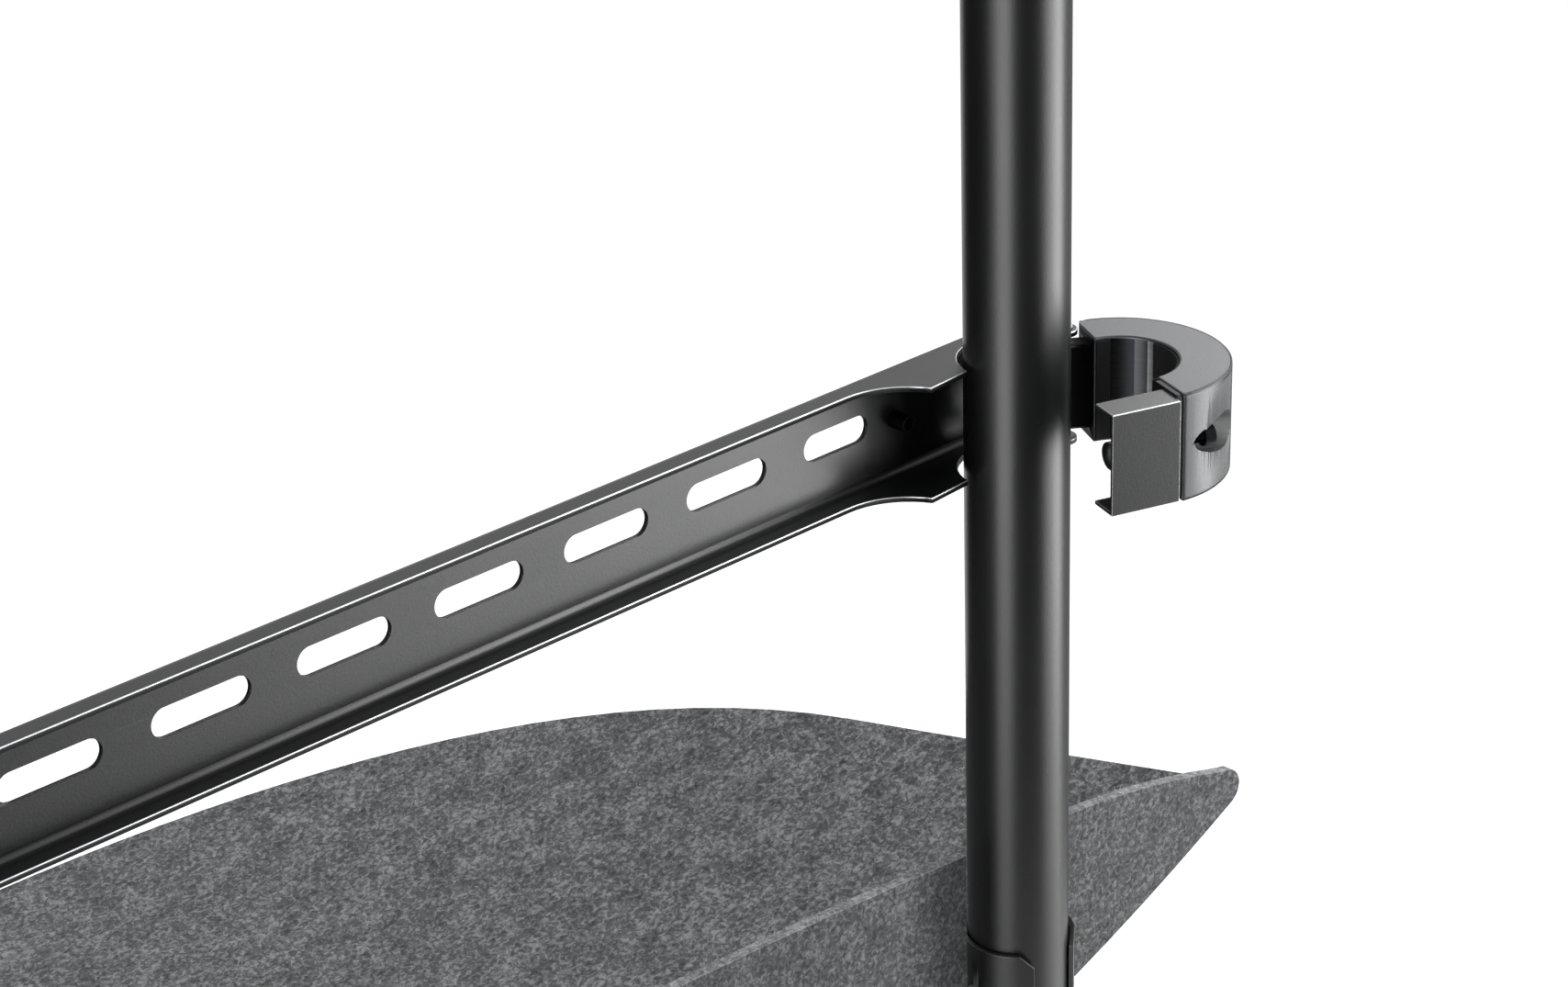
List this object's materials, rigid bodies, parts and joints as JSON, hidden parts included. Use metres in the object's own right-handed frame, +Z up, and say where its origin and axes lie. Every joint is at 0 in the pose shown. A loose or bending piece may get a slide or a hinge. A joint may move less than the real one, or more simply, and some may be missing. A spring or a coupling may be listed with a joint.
{
  "type": "screen stand",
  "caption": "Free-standing screen stand: two posts on a plate, slotted cross channels with hinged quick-release collars, and a pressed felt tray in front.",
  "frame": {"origin": "on the floor, midway between the axes of the two posts", "axes": "+Z up along the posts, +X from the left post to the right one as seen from the screen side, -Y towards the screen side"},
  "size_m": [0.749, 0.5298, 1.304],
  "materials": {
    "black_coat": "fine satin powder coat",
    "collar_coat": "satin powder coat on a die casting",
    "dark_zinc": "black zinc",
    "mild_steel": "turned",
    "bright_steel": "turned and plated",
    "black_plastic": "moulded, matt",
    "rubber": "moulded",
    "foam": "closed-cell foam sheet",
    "felt": "pressed mottled grey felt"
  },
  "bodies": {
    "stand": {"base_underlay": "foam", "base_plate": "black_coat", "base_bolts": "dark_zinc", "post_plug_left": "mild_steel", "post_plug_right": "mild_steel", "post_left": "black_coat", "post_right": "black_coat", "post_cap_left": "black_plastic", "post_cap_right": "black_plastic"},
    "lower_channel": {"lower_crossbar": "black_coat", "lower_standoffs": "black_coat", "lower_left_hinge_pin": "bright_steel", "lower_right_hinge_pin": "bright_steel"},
    "upper_channel": {"upper_crossbar": "black_coat", "upper_standoffs": "black_coat", "upper_left_hinge_pin": "bright_steel", "upper_right_hinge_pin": "bright_steel"},
    "lower_left_clamp": {"lower_left_collar": "collar_coat", "lower_left_pads": "rubber", "lower_left_spacer": "black_plastic", "lower_left_bracket": "collar_coat", "lower_left_sleeve": "black_plastic"},
    "lower_left_lock": {"lower_left_screw": "dark_zinc"},
    "lower_right_clamp": {"lower_right_collar": "collar_coat", "lower_right_pads": "rubber", "lower_right_spacer": "black_plastic", "lower_right_bracket": "collar_coat", "lower_right_sleeve": "black_plastic"},
    "lower_right_lock": {"lower_right_screw": "dark_zinc"},
    "upper_left_clamp": {"upper_left_collar": "collar_coat", "upper_left_pads": "rubber", "upper_left_spacer": "black_plastic", "upper_left_bracket": "collar_coat", "upper_left_sleeve": "black_plastic"},
    "upper_left_lock": {"upper_left_screw": "dark_zinc"},
    "upper_right_clamp": {"upper_right_collar": "collar_coat", "upper_right_pads": "rubber", "upper_right_spacer": "black_plastic", "upper_right_bracket": "collar_coat", "upper_right_sleeve": "black_plastic"},
    "upper_right_lock": {"upper_right_screw": "dark_zinc"},
    "tray": {"felt_tray": "felt", "tray_sleeve_left": "black_coat", "tray_sleeve_right": "black_coat", "tray_rivets": "dark_zinc"}
  },
  "joints": [
    {"name": "lower_channel_height", "type": "slide", "parent": "stand", "child": "lower_channel", "axis": [0, 0, 1], "range_m": [-0.07, 0.15]},
    {"name": "upper_channel_height", "type": "slide", "parent": "stand", "child": "upper_channel", "axis": [0, 0, 1], "range_m": [-0.15, 0.06]},
    {"name": "lower_left_collar_hinge", "type": "hinge", "parent": "lower_channel", "child": "lower_left_clamp", "pos_m": [-0.2835, -0.0057, 0.8], "axis": [0, 0, 1], "range_deg": [-71, 20]},
    {"name": "lower_right_collar_hinge", "type": "hinge", "parent": "lower_channel", "child": "lower_right_clamp", "pos_m": [0.2835, -0.0057, 0.8], "axis": [0, 0, -1], "range_deg": [0, 91]},
    {"name": "upper_left_collar_hinge", "type": "hinge", "parent": "upper_channel", "child": "upper_left_clamp", "pos_m": [-0.2835, -0.0057, 1.2], "axis": [0, 0, 1], "range_deg": [0, 91]},
    {"name": "upper_right_collar_hinge", "type": "hinge", "parent": "upper_channel", "child": "upper_right_clamp", "pos_m": [0.2835, -0.0057, 1.2], "axis": [0, 0, -1], "range_deg": [0, 91]},
    {"name": "lower_left_screw_travel", "type": "slide", "parent": "lower_left_clamp", "child": "lower_left_lock", "axis": [0.9455, -0.3256, 0], "range_m": [0, 0.0054]},
    {"name": "lower_right_screw_travel", "type": "slide", "parent": "lower_right_clamp", "child": "lower_right_lock", "axis": [0, -1, 0], "range_m": [0, 0.0054]},
    {"name": "upper_left_screw_travel", "type": "slide", "parent": "upper_left_clamp", "child": "upper_left_lock", "axis": [0, -1, 0], "range_m": [0, 0.0054]},
    {"name": "upper_right_screw_travel", "type": "slide", "parent": "upper_right_clamp", "child": "upper_right_lock", "axis": [0, -1, 0], "range_m": [0, 0.0054]},
    {"name": "tray_height", "type": "slide", "parent": "stand", "child": "tray", "axis": [0, 0, 1], "range_m": [-0.25, 0.04]}
  ]
}
